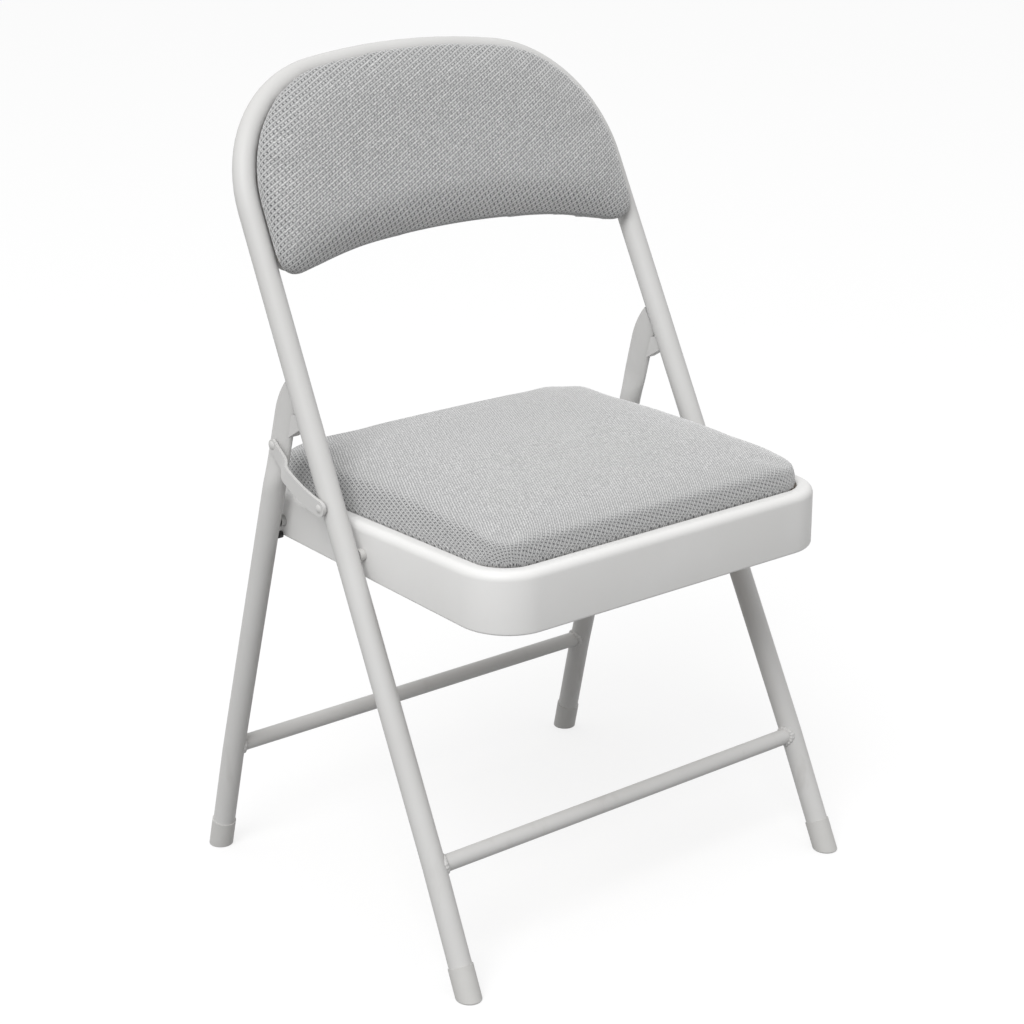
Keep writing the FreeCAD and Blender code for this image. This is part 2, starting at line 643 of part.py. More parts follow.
for s in (1, -1):
    y = SEAT_PIVOT.y
    shank = x_rod(s, PIN_R, PLATE_X - FACE_GAP, half_width(PIVOT_Z) - 2, y, PIVOT_Z)
    head = x_rod(s, 2 * PIN_R, PLATE_X - FACE_GAP - 2.5, PLATE_X - FACE_GAP, y, PIVOT_Z)
    studs.append(head.fuse(shank).removeSplitter())
    ring = x_ring(s, SPACER_R, PIN_R + PRESS_FIT, SEAT_HALF + FACE_GAP, TUBE_IN - SLIP_GAP, y, PIVOT_Z)
    spacers.append(ring)
    y = LEG_PIVOT.y
    shank = x_rod(s, PIN_R, PLATE_X - WELD_GAP, TUBE_IN - OPEN_GAP, y, PIVOT_Z)
    head = x_rod(s, 2 * PIN_R, PLATE_X - WELD_GAP - 2.5, PLATE_X - WELD_GAP, y, PIVOT_Z)
    rear_studs.append(head.fuse(shank).removeSplitter())
    ring = x_ring(s, WASHER_R, PIN_R + PRESS_FIT, SEAT_HALF + WELD_GAP, TUBE_IN - OPEN_GAP, y, PIVOT_Z)
    rear_washers.append(ring)
    y += BUMPER_BACK
    z = skirt_z(y) + BUMPER_UP
    bumpers.append(x_rod(s, BUMPER_R, SEAT_HALF + WELD_GAP, SEAT_HALF + BUMPER_L, y, z))
group("seat_pivot_studs", studs)
group("seat_pivot_spacers", spacers)
group("rear_pivot_studs", rear_studs)
group("rear_pivot_washers", rear_washers)
group("seat_bumpers", bumpers)


# Back
BACK_LOW = TOP_T - BACK_H
PAD_SEAT = TUBE_R + PAD_GAP


def back_wire(inset, n, low_inset, corner):
    """Outline of the back in the frame's plane, drawn in from the tube's centre line by inset."""
    low, arch = arch_edges(inset, n)
    low_t = BACK_LOW - BACK_LOW_R
    reach = BACK_LOW_R + low_inset
    cx, ct = between(inset + corner, low_t, reach + corner)
    away = math.atan2(ct - low_t, cx)

    def on_round(angle, side):
        return in_plane(side * (cx + corner * math.cos(angle)), ct + corner * math.sin(angle), n)

    side_end = {s: on_round(SIDE_SLOPE, s) for s in (1, -1)}
    low_end = {s: on_round(away + math.pi, s) for s in (1, -1)}
    turn = (SIDE_SLOPE + away - math.pi) / 2
    mid = {s: on_round(turn, s) for s in (1, -1)}
    bottom = arc(low_end[-1], in_plane(0, low_t + reach, n), low_end[1])
    edges = [line(side_end[1], low[1])] + arch + [line(low[-1], side_end[-1])]
    edges += [arc(side_end[-1], mid[-1], low_end[-1]), bottom, arc(low_end[1], mid[1], side_end[1])]
    return Part.Wire(edges)


to_front = in_plane(0, 0, -1.0)
panel_inset = TUBE_R - PANEL_LAP
panel = Part.Face(back_wire(panel_inset, PANEL_T / 2, 3.0, BACK_CORNER - 3.0)).extrude(to_front * PANEL_T)
panel = panel.cut(frame_solid)
board_n = -PANEL_T / 2 - WELD_GAP
board_in = PAD_SEAT + BACK_BOARD_EDGE
back_board = Part.Face(back_wire(board_in, board_n, 3.0, BACK_CORNER - 4.0)).extrude(to_front * BACK_BOARD_T)
pad_n = board_n - FACE_GAP
PAD_SIDE = (
    (0.0, 0.0, 1.0), (0.16, -0.6, 0.6), (0.34, -4.0, -0.6), (0.52, -5.2, -1.0),
    (0.68, -2.5, 1.0), (0.82, 6.0, 8.0), (0.91, 20.0, 20.0), (0.97, 42.0, 38.0), (1.0, 70.0, 62.0),
)
rings = []
for share, inset, low_inset in PAD_SIDE:
    rings.append(back_wire(PAD_SEAT + inset, pad_n - share * PAD_DEPTH, low_inset, BACK_CORNER))
pad = smooth_loft(rings)
pocket_wire = back_wire(board_in - FACE_GAP, pad_n + 1, 3.0 - FACE_GAP, BACK_CORNER - 4.0)
pocket = Part.Face(pocket_wire).extrude(to_front * (BACK_BOARD_T + 1))
nodes["back_pad"] = pad.cut(pocket)
back_screws = []
for s in (1, -1):
    for x, t in ((0.76, 0.24), (0.72, 0.6), (0.3, 0.86)):
        place = BACK_LOW + t * (TOP_T - BACK_LOW)
        spot = in_plane(s * x * half_width(BACK_LOW), place, PANEL_T / 2 + WELD_GAP)
        back_screws.append(screw(spot, to_front))
        panel = panel.cut(disc_rod(SCREW_R + 0.2, spot - to_front * 2, spot + to_front * 3))
        end = spot + to_front * (PANEL_T + WELD_GAP + SCREW_BITE + 0.5)
        back_board = back_board.cut(disc_rod(SCREW_R + PRESS_FIT, spot, end))
nodes["back_panel"] = panel
nodes["back_board"] = back_board
group("back_screws", back_screws)

# The chair's middle goes to the origin, its feet on the floor
boxes = [shape.optimalBoundingBox(False, False) for shape in nodes.values()]
middle = (min(b.YMin for b in boxes) + max(b.YMax for b in boxes)) / 2
for name, shape in sorted(nodes.items()):
    moved = shape.copy()
    moved.translate(V(0, -middle, 0))
    moved.exportStep("parts/" + name + ".step")
print("middle", round(middle, 4))
for label, p in (("seat", SEAT_PIVOT), ("leg", LEG_PIVOT), ("link_foot", LINK_FOOT), ("link_top", LINK_TOP)):
    print(label, round(p.x, 4), round(p.y - middle, 4), round(p.z, 4))
for label, angle in (("fold_seat", FOLD_SEAT), ("fold_legs", FOLD_LEGS), ("fold_link", FOLD_LINK)):
    print(label, round(math.degrees(angle), 5))
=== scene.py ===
"""Looks of the padded folding chair: paint, woven pads, pressed seat pan, welds, studio and camera."""
import bmesh
import bpy
import json
import math
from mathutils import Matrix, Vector


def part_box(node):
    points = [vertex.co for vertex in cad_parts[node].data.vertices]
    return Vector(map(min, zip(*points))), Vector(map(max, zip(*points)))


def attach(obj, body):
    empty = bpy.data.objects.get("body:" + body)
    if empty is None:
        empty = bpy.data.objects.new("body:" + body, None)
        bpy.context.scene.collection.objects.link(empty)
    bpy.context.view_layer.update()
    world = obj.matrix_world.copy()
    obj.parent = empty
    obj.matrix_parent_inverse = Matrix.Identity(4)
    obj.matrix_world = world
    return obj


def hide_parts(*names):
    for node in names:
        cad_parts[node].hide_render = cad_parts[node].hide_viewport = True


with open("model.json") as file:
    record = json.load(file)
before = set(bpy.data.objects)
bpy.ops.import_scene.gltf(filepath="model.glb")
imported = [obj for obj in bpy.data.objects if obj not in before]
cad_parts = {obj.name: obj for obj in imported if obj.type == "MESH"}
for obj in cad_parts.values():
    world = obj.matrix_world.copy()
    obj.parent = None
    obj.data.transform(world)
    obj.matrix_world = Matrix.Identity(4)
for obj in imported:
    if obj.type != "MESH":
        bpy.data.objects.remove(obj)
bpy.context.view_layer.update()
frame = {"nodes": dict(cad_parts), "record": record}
NODES = frame["nodes"]
MM = 0.001

# Camera at the photograph's view, for an image of 1024 by 1024 pixels
IMAGE_PX = 1024
FOCAL_PX = 2369.5
OPTICAL_CENTRE_PX = (509.4, 498.0)
CAMERA_AT = Vector((-1.4127, -1.6789, 1.1018))
CAMERA_YAW = math.radians(39.729)
CAMERA_PITCH = math.radians(18.318)
SENSOR_MM = 36.0

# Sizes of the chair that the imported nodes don't name
FRONT_LEAN = math.radians(26.565)
REAR_LEAN = math.radians(-15.3)
NARROW = math.tan(math.radians(0.985))
FOOT_HALF = 0.2335
TUBE_R = 11 * MM
BAR_R = 8 * MM

# Seat pan's sheet, and the steps that its bends are made of
SEAT_CORNER_R = 50 * MM
SKIRT_RISE = 17 * MM
PAN_ROUND = 8 * MM
PAN_T = 1.2 * MM
LEDGE = 16 * MM
RECESS = 7 * MM
FLANGE = 34 * MM
HEM_R = 2.6 * MM
HEM_TURN = 7 * MM
SKIRT_MID = 0.45
LIP_R = 1.6 * MM
MIN_CORNER_R = 1 * MM
SHARP_ANGLE = math.radians(50)
CORNER_STEPS = 14
HEM_STEPS = 6
RIM_STEPS = 8
LIP_STEPS = 4

# Weld beads round the crossbars' ends
WELD_R = 2.1 * MM
WELD_WIDTH = 1.3
WELD_STEPS = 72
WELD_SIDES = 10
WELD_RIPPLES = 17
WELD_RIPPLE = 0.16
WELD_WAVES = 3
WELD_WAVE = 0.1
WELD_PHASE = 900

# Cloth over the pads: its pitch, its turn, the height of the crown it lies flat on, and how much it gapes,
# which also deepens the painted shade in its openings
WEAVE = 4.8 * MM
SEAT_BIAS = math.radians(63)
BACK_BIAS = math.radians(27)
SEAT_CROWN = 10 * MM
BACK_CROWN = 8 * MM
SEAT_GAPE = 0.0
BACK_GAPE = 0.19

# Stuffing of the pads
VOXEL = 4 * MM
MERGE = 0.01 * MM
IRON_FROM = 0.86
IRON_FULL = 0.97
IRON_PASSES = 240
SWELL_ROOM = 1.5 * MM
SWELL_CAP = 3 * MM
SWELL_FRAMES = 20
PRESSURE = 4.0
STIFFNESS = 40.0
BENDING = 10.0
SEAT_SETTLE = 36
BACK_SETTLE = 16
POCKET_GAP = 0.3 * MM
SCREW_REACH = 3.2 * MM

# Cushion: heights above the pan's ledge where it is held and free, and its form
SEAT_HELD = 2 * MM
SEAT_FREE = 14 * MM
FRONT_FALL = 18 * MM
FALL_POWER = 3.5
SEAT_FULLNESS = 0.42

# Back pad: how far behind and before its board's face it is held and free, and its form
BACK_HELD = 1 * MM
BACK_FREE = 9 * MM
RIM_SPREAD = 5.5 * MM
TOP_SPREAD = 10 * MM
SPREAD_FROM = 0.12
SPREAD_FULL = 0.45
RIM_FULLNESS = 0.8
BACK_LOW_R = 1050 * MM
ROLL_HEIGHT = 22 * MM
ROLL_DEPTH = 0.45
ROLL_FROM = 0.2
ROLL_FULL = 0.9
CORNER_DROP = 5 * MM
CORNER_RUN = 110 * MM
CORNER_END = 8 * MM
CORNER_FROM = 0.1
CORNER_FULL = 0.5

# Studio light
SKY_LOW = 0.45
SKY_HIGH = 1.05
LAMP_AT = Vector((-3.96, -2.31, 5.16))
LAMP_AIM = Vector((0, 0, 0.4))
LAMP_SIZE = 4.0
LAMP_POWER = 290.0

# Colours, linear
# PAINT and the pan's paint below are one powder coat: a darker copy on the tubes is painted shade, a
# lighter copy on the pan is painted light
PAINT = (0.575, 0.572, 0.564, 1)
PAINT_SHADE = (0.55, 0.546, 0.537, 1)
PAN_PAINT_LIT = (0.715, 0.712, 0.704, 1)
PAN_PAINT_LIT_DARK = (0.69, 0.686, 0.676, 1)
PAINT_SCUFF = (0.47, 0.46, 0.445, 1)
CAP_GREY = (0.54, 0.536, 0.523, 1)
CAP_SHADE = (0.5, 0.495, 0.482, 1)
YARN_LIGHT = (0.64, 0.64, 0.637, 1)
YARN_MID = (0.39, 0.391, 0.392, 1)
# Painted shade in the weave: its grooves and its openings
YARN_GROOVE_SHADE = (0.16, 0.162, 0.165, 1)
YARN_OPENING_SHADE = (0.065, 0.067, 0.07, 1)
PLY_LIGHT = (0.52, 0.36, 0.21, 1)
PLY_DARK = (0.36, 0.23, 0.12, 1)
ZINC = (0.56, 0.56, 0.55, 1)
ZINC_DARK = (0.4, 0.4, 0.4, 1)
RUBBER = (0.018, 0.018, 0.018, 1)
RUBBER_DUST = (0.05, 0.05, 0.05, 1)
FLOOR = (0.93, 0.93, 0.93, 1)
FLOOR_DIM = (0.25, 0.25, 0.25, 1)

# How strongly parts of a finish show
FLOOR_GLOW = 0.75
SCUFF_SHARE = 0.55
DASH_SHARE = 0.35
FUZZ_SHARE = 0.5


class Nodes:
    """Adds shader nodes to a tree and links them."""

    def __init__(self, tree):
        self.tree = tree

    def put(self, socket, value):
        """Links an output to a socket, or sets the socket's own value."""
        if isinstance(value, bpy.types.NodeSocket):
            self.tree.links.new(value, socket)
        else:
            socket.default_value = value

    def add(self, kind, sockets=None, **settings):
        """Adds a node with its settings and named sockets, and returns its first output."""
        made = self.tree.nodes.new("ShaderNode" + kind)
        for key, value in settings.items():
            setattr(made, key, value)
        for key, value in (sockets or {}).items():
            self.put(made.inputs[key], value)
        return made.outputs[0]

    def math(self, operation, *values):
        """Works out an operation on values and outputs."""
        return self.add("Math", dict(enumerate(values)), operation=operation)

    def ramp(self, value, low, high):
        """Smooth step of a value from 0 at low to 1 at high."""
        sockets = {"Value": value, "From Min": low, "From Max": high}
        return self.add("MapRange", sockets, interpolation_type="SMOOTHSTEP")

    def span(self, value, low, high):
        """Carries a value from the range 0 to 1 over to the range low to high."""
        return self.math("MULTIPLY_ADD", value, high - low, low)

    def wave(self, turns, count):
        """Cosine with count waves in each turn."""
        return self.math("COSINE", self.math("MULTIPLY", turns, 2 * math.pi * count))

    def mix(self, share, a, b):
        """Colour between a and b."""
        made = self.tree.nodes.new("ShaderNodeMix")
        made.data_type = "RGBA"
        for index, value in ((0, share), (6, a), (7, b)):
            self.put(made.inputs[index], value)
        return made.outputs[2]

    def seen(self):
        """1 for what the camera sees, straight or in gloss, and 0 for light that only bounces."""
        path = self.add("LightPath").node.outputs
        mirrored = self.math("MAXIMUM", path["Is Glossy Ray"], path["Is Transmission Ray"])
        return self.math("MAXIMUM", path["Is Camera Ray"], mirrored)


class Shade(Nodes):
    """Builds the nodes of one material."""

    def __init__(self, name):
        self.material = bpy.data.materials.new(name)
        self.material.use_nodes = True
        super().__init__(self.material.node_tree)
        self.surface = self.tree.nodes["Principled BSDF"]
        self.place = self.add("TexCoord").node.outputs["Object"]

    def noise(self, scale, detail=2.0, place=None, stretch=None):
        """Noise in metres, stretched along an axis where stretch is given."""
        at = place or self.place
        if stretch:
            at = self.add("Mapping", {"Vector": at, "Scale": stretch})
        return self.add("TexNoise", {"Vector": at, "Scale": scale, "Detail": detail})

    def bump(self, height, depth, strength=1.0):
        """Presses a height pattern, depth metres deep, into the surface."""
        sockets = {"Height": height, "Distance": depth, "Strength": strength}
        self.put(self.surface.inputs["Normal"], self.add("Bump", sockets))

    def finish(self, **sockets):
        """Sets the surface's sockets by name, with underscores for spaces."""
        for key, value in sockets.items():
            self.put(self.surface.inputs[key.replace("_", " ")], value)
        return self.material


def paint_material(name, light, dark):
    """Satin powder coat with a faint orange peel, and scuffs near the floor."""
    shade = Shade(name)
    cloudy = shade.ramp(shade.noise(scale=9.0, detail=3.0), low=0.3, high=0.7)
    scratches = shade.noise(scale=55.0, detail=5.0, stretch=(1.0, 1.0, 0.25))
    height = shade.add("SeparateXYZ", {"Vector": shade.place}).node.outputs["Z"]
    near_floor = shade.math("SUBTRACT", 1.0, shade.ramp(height, low=0.02, high=0.2))
    scuff = shade.math("MULTIPLY", shade.ramp(scratches, low=0.6, high=0.72), near_floor)
    worn = shade.math("MULTIPLY", scuff, SCUFF_SHARE)
    colour = shade.mix(worn, shade.mix(cloudy, dark, light), PAINT_SCUFF)
    shade.bump(shade.noise(scale=520.0), depth=0.12 * MM, strength=0.35)
    rough = shade.span(shade.noise(scale=38.0, detail=3.0), low=0.4, high=0.56)
    return shade.finish(Base_Color=colour, Roughness=rough, Specular_IOR_Level=0.3)


def cap_material():
    """Moulded plastic, a little duller than the paint."""
    shade = Shade("grey_plastic")
    colour = shade.mix(shade.noise(scale=80.0, detail=4.0), CAP_SHADE, CAP_GREY)
    shade.bump(shade.noise(scale=900.0), depth=0.1 * MM, strength=0.4)
    rough = shade.span(shade.noise(scale=60.0), low=0.48, high=0.63)
    return shade.finish(Base_Color=colour, Roughness=rough)


def fabric_material():
    """Coarse cloth: fine ribs broken into dashes, and openings that gape where it is stretched; its
    grooves and openings hold painted shade.
    """
    shade = Shade("woven_fabric")
    cloth = shade.add("Attribute", attribute_name="weave").node.outputs["Vector"]
    parts = shade.add("SeparateXYZ", {"Vector": cloth}).node.outputs
    turns = []
    for axis, seed in (("X", 0.0), ("Y", 7.0)):
        shifted = shade.add("Mapping", {"Vector": cloth, "Location": (seed, seed, 0.0)})
        wander = shade.span(shade.noise(scale=90.0, place=shifted), low=-0.15, high=0.15)
        turns.append(shade.math("ADD", shade.math("DIVIDE", parts[axis], WEAVE), wander))
    rib = shade.wave(turns[1], 2)
    dash = shade.wave(shade.math("ADD", *turns), 1)
    patchy = shade.span(shade.noise(scale=60.0, detail=1.0, place=cloth), low=0.85, high=1.15)
    broken = shade.math("MULTIPLY", rib, shade.math("MULTIPLY_ADD", dash, DASH_SHARE, 1 - DASH_SHARE))
    ribs = shade.math("MULTIPLY", shade.math("MULTIPLY_ADD", dash, DASH_SHARE, broken), patchy)
    ups = [shade.math("MULTIPLY_ADD", shade.wave(t, 1), 0.5, 0.5) for t in turns]
    crossing = shade.math("MULTIPLY", *ups)
    # Painted shade: the openings are near black, more so where the cloth turns from the face
    stretch = shade.span(shade.ramp(parts["Z"], low=0.05, high=0.32), low=0.15, high=1.0)
    opening = shade.math("MULTIPLY", shade.ramp(crossing, low=0.45, high=0.9), stretch)
    fuzz = shade.noise(scale=1500.0, place=cloth)
    relief = shade.math("MULTIPLY_ADD", fuzz, FUZZ_SHARE, shade.math("SUBTRACT", ribs, opening))
    shade.bump(relief, depth=0.35 * MM, strength=0.7)
    flecks = shade.ramp(shade.noise(scale=420.0, place=cloth), low=0.3, high=0.7)
    yarn = shade.mix(flecks, YARN_MID, YARN_LIGHT)
    # Painted shade: the grooves between the ribs are darker where the relief is low
    groove_shaded = shade.mix(shade.ramp(ribs, low=0.35, high=-1.2), yarn, YARN_GROOVE_SHADE)
    return shade.finish(
        Base_Color=shade.mix(opening, groove_shaded, YARN_OPENING_SHADE), Roughness=0.92, Specular_IOR_Level=0.2,
        Sheen_Weight=1.0, Sheen_Roughness=0.4)


def plywood_material():
    """Raw plywood with its grain along the board."""
    shade = Shade("plywood")
    grain = shade.noise(scale=40.0, detail=6.0, stretch=(1.0, 14.0, 14.0))
    colour = shade.mix(shade.ramp(grain, low=0.35, high=0.68), PLY_DARK, PLY_LIGHT)
    shade.bump(grain, depth=0.3 * MM, strength=0.5)
    return shade.finish(Base_Color=colour, Roughness=0.75)


def zinc_material():
    """Zinc plate with a fine crystal swirl."""
    shade = Shade("zinc_plate")
    swirl = shade.noise(scale=700.0, detail=4.0)
    colour = shade.mix(swirl, ZINC_DARK, ZINC)
    rough = shade.span(swirl, low=0.25, high=0.45)
    return shade.finish(Base_Color=colour, Metallic=1.0, Roughness=rough)


def rubber_material():
    """Black rubber with a little dust."""
    shade = Shade("black_rubber")
    dust = shade.ramp(shade.noise(scale=160.0, detail=4.0), low=0.5, high=0.8)
    shade.bump(shade.noise(scale=800.0), depth=0.1 * MM, strength=0.5)
    return shade.finish(Base_Color=shade.mix(dust, RUBBER, RUBBER_DUST), Roughness=0.7)


def floor_material():
    """White paper that keeps a soft shadow, and throws little light back up."""
    shade = Shade("floor_paper")
    seen = shade.seen()
    shade.finish(Base_Color=shade.mix(seen, FLOOR_DIM, FLOOR), Roughness=0.9)
    glow = shade.add("Emission", {"Color": (1, 1, 1, 1), "Strength": 1.0})
    share = shade.math("MULTIPLY", seen, FLOOR_GLOW)
    both = shade.add("MixShader", {0: share, 1: shade.surface.outputs[0], 2: glow})
    shade.put(shade.tree.nodes["Material Output"].inputs["Surface"], both)
    return shade.material


MATERIALS = {
    "painted_steel": paint_material("painted_steel", PAINT, PAINT_SHADE),
    "grey_plastic": cap_material(),
    "woven_fabric": fabric_material(),
    "plywood": plywood_material(),
    "bare_steel": zinc_material(),
    "black_rubber": rubber_material(),
}


def new_piece(name, mesh, body, slot):
    """Adds a mesh as a piece on a body, in its slot's material."""
    piece = bpy.data.objects.new(name, mesh)
    bpy.context.scene.collection.objects.link(piece)
    mesh.materials.clear()
    mesh.materials.append(MATERIALS[slot])
    mesh.shade_smooth()
    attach(piece, body)
    return piece


def dress_nodes():
    """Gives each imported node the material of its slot."""
    for part in frame["record"]["subparts"]:
        node = NODES[part["node"]]
        node.data.materials.clear()
        node.data.materials.append(MATERIALS[part["material_slot"]])


def ring_mesh(name, rings):
    """Closed skin over a closed row of closed rings."""
    build = bmesh.new()
    rows = [[build.verts.new(p) for p in ring] for ring in rings]
    for a, b in zip(rows, rows[1:] + rows[:1]):
        for i in range(len(a)):
            j = (i + 1) % len(a)
            build.faces.new((a[i], a[j], b[j], b[i]))
    bmesh.ops.recalc_face_normals(build, faces=build.faces)
    mesh = bpy.data.meshes.new(name)
    build.to_mesh(mesh)
    build.free()
    return mesh


def weld_bead(name, body, bar, side, lean):
    """Rippled bead along the line where a crossbar meets a leg."""
    low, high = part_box(bar)
    y, z = (low.y + high.y) / 2, (low.z + high.z) / 2
    middle = Vector((side * (FOOT_HALF - z * NARROW), y, z))
    leg = Vector((-side * NARROW, math.tan(lean), 1)).normalized()
    out = Vector((side, 0, 0))
    spin = [2 * math.pi * i / WELD_SIDES for i in range(WELD_SIDES)]
    rings = []
    for k in range(WELD_STEPS):
        turn = 2 * math.pi * k / WELD_STEPS
        off = Vector((0, math.cos(turn), math.sin(turn))) * BAR_R
        # Reach along the bar from the leg's middle to its surface, the root of a quadratic
        a = 1 - out.dot(leg) ** 2
        b = 2 * off.dot(leg) * out.dot(leg)
        c = off.length_squared - off.dot(leg) ** 2 - TUBE_R ** 2
        reach = (-b + math.sqrt(b * b - 4 * a * c)) / (2 * a)
        seat = off - out * reach
        leg_normal = (seat - leg * seat.dot(leg)).normalized()
        away = (off.normalized() + leg_normal).normalized()
        flat = (off.normalized() - leg_normal).normalized()
        ripple = WELD_RIPPLE * math.sin(WELD_RIPPLES * turn)
        drift = WELD_WAVE * math.sin(WELD_WAVES * turn + z * WELD_PHASE)
        radius = WELD_R * (1 + ripple + drift)
        centre = middle + seat
        sides = [away * math.cos(s) + flat * WELD_WIDTH * math.sin(s) for s in spin]
        rings.append([centre + off_centre * radius for off_centre in sides])
    return new_piece(name, ring_mesh(name, rings), body, "painted_steel")


def seat_ring(inset):
    """Points round the seat, drawn in by inset, as (x, y, share of the way to the rear)."""
    low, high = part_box("seat_pan")
    radius = max(SEAT_CORNER_R - inset, MIN_CORNER_R)
    x = high.x - inset - radius
    y0, y1 = low.y + inset + radius, high.y - inset - radius
    points = []
    for cx, cy, start in ((x, y0, -90), (x, y1, 0), (-x, y1, 90), (-x, y0, 180)):
        for k in range(CORNER_STEPS + 1):
            a = math.radians(start + 90 * k / CORNER_STEPS)
            points.append((cx + radius * math.cos(a), cy + radius * math.sin(a)))
    return [(px, py, (py - low.y) / (high.y - low.y)) for px, py in points]


def arc_points(centre, radius, start, end, steps):
    """Points of an arc in a section, as (inset, height)."""
    turns = [math.radians(start + (end - start) * k / steps) for k in range(steps + 1)]
    return [(centre[0] + radius * math.cos(t), centre[1] + radius * math.sin(t)) for t in turns]


def pan_section():
    """Outline of the pan's sheet, as (inset, height, "hem", "floor" or "share").

    The word says if the height is from the skirt's lower edge, from the floor, or a share of the skirt.
    """
    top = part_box("seat_pan")[1].z
    hem = (HEM_R, HEM_R)
    rim = (PAN_ROUND, top - PAN_ROUND)
    lip = (LEDGE - LIP_R, top - LIP_R)
    recess = top - RECESS
    flange = LEDGE + FLANGE

    def bend(centre, radius, start, end, steps, kind):
        return [(i, h, kind) for i, h in arc_points(centre, radius, start, end, steps)]

    return [
        (HEM_TURN, 0.0, "hem"),
        *bend(hem, HEM_R, 270, 180, HEM_STEPS, "hem"),
        (0.0, SKIRT_MID, "share"),
        *bend(rim, PAN_ROUND, 180, 90, RIM_STEPS, "floor"),
        *bend(lip, LIP_R, 90, 0, LIP_STEPS, "floor"),
        (LEDGE, recess, "floor"),
        (flange, recess, "floor"),
        (flange, recess - PAN_T, "floor"),
        (LEDGE - PAN_T, recess - PAN_T, "floor"),
        *bend(lip, LIP_R - PAN_T, 0, 90, LIP_STEPS - 1, "floor"),
        *bend(rim, PAN_ROUND - PAN_T, 90, 180, RIM_STEPS, "floor"),
        (PAN_T, SKIRT_MID, "share"),
        *bend(hem, HEM_R - PAN_T, 180, 270, HEM_STEPS, "hem"),
        (HEM_TURN, PAN_T, "hem"),
    ]


def seat_pan():
    """The pan, pressed from one sheet: rolled hem, rounded rim, ledge and recess for the cushion."""
    low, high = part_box("seat_pan")
    rings = []
    for inset, height, kind in pan_section():
        ring = []
        for x, y, share in seat_ring(inset):
            hem = low.z + SKIRT_RISE * share
            if kind == "share":
                z = hem + height * (high.z - hem)
            elif kind == "hem":
                z = hem + height
            else:
                z = height
            ring.append(Vector((x, y, z)))
        rings.append(ring)
    pan = new_piece("seat_pan_shell", ring_mesh("seat_pan_shell", rings), "seat", "painted_steel")
    # The pan takes the lighter copy of the paint, painted light
    pan.data.materials[0] = paint_material("pan_paint_lit", PAN_PAINT_LIT, PAN_PAINT_LIT_DARK)
    pan.data.set_sharp_from_angle(angle=SHARP_ANGLE)
    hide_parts("seat_pan")


def ease(value, low, high):
    """Smooth step from 0 at low to 1 at high."""
    t = min(max((value - low) / (high - low), 0.0), 1.0)
    return t * t * (3 - 2 * t)


def bake(piece):
    """Keeps the piece's mesh as its modifiers leave it."""
    evaluated = piece.evaluated_get(bpy.context.evaluated_depsgraph_get())
    mesh = bpy.data.meshes.new_from_object(evaluated)
    piece.modifiers.clear()
    piece.data = mesh


def stuffed_form(name, soft, board):
    """One closed fabric form over a CAD pad and the board inside it, with even faces."""
    build = bmesh.new()
    for node in (soft, board):
        build.from_mesh(NODES[node].data)
    bmesh.ops.remove_doubles(build, verts=build.verts, dist=MERGE)
    mesh = bpy.data.meshes.new(name)
    build.to_mesh(mesh)
    build.free()
    piece = bpy.data.objects.new(name, mesh)
    bpy.context.scene.collection.objects.link(piece)
    remesh = piece.modifiers.new("even", "REMESH")
    remesh.mode = "VOXEL"
    remesh.voxel_size = VOXEL
    bake(piece)
    return piece


def reshape(piece, form):
    """Moves each vertex to where form puts it, from its place and normal."""
    places = [form(v.co, v.normal) for v in piece.data.vertices]
    for v, place in zip(piece.data.vertices, places):
        v.co = place


def relax(piece, share, passes):
    """Smooths the form; share gives 0 where a vertex stays to 1 where it moves freely."""
    group = piece.vertex_groups.new(name="relaxed")
    for v in piece.data.vertices:
        group.add([v.index], share(v), "REPLACE")
    smooth = piece.modifiers.new("relaxed", "SMOOTH")
    smooth.factor = 0.5
    smooth.iterations = passes
    smooth.vertex_group = "relaxed"
    bake(piece)
    piece.vertex_groups.clear()


def iron(piece, out, freedom):
    """Smooths the steps between the outlines of the CAD pad out of its face."""
    relax(piece, lambda v: ease(v.normal.dot(out), IRON_FROM, IRON_FULL) * freedom(v.co), IRON_PASSES)


def swell(piece, freedom, settle):
    """Lets the form fill out like a stuffed pad, then settle.

    freedom gives 0 where a point is held to 1 where it is free.
    """
    mesh = piece.data
    loose = [freedom(v.co) for v in mesh.vertices]
    moves = [v.normal * SWELL_ROOM * free for v, free in zip(mesh.vertices, loose)]
    for v, move in zip(mesh.vertices, moves):
        v.co -= move
    pins = piece.vertex_groups.new(name="held")
    for i, free in enumerate(loose):
        pins.add([i], 1.0 - free, "REPLACE")
    cloth = piece.modifiers.new("stuffing", "CLOTH")
    settings = cloth.settings
    settings.vertex_group_mass = "held"
    settings.use_pressure = True
    settings.uniform_pressure_force = PRESSURE
    settings.effector_weights.gravity = 0.0
    settings.tension_stiffness = STIFFNESS
    settings.compression_stiffness = STIFFNESS
    settings.bending_stiffness = BENDING
    scene = bpy.context.scene
    for step in range(1, SWELL_FRAMES + 1):
        scene.frame_set(step)
    slack = [v.co.copy() for v in mesh.vertices]
    bake(piece)
    for v, p in zip(piece.data.vertices, slack):
        move = v.co - p
        if move.length > SWELL_CAP:
            v.co = p + move.normalized() * SWELL_CAP
    scene.frame_set(1)
    piece.vertex_groups.clear()
    relax(piece, lambda v: freedom(v.co), settle)


def smooth_once(piece):
    """Divides each face into four along a smooth surface."""
    piece.modifiers.new("finer", "SUBSURF").levels = 1
    bake(piece)


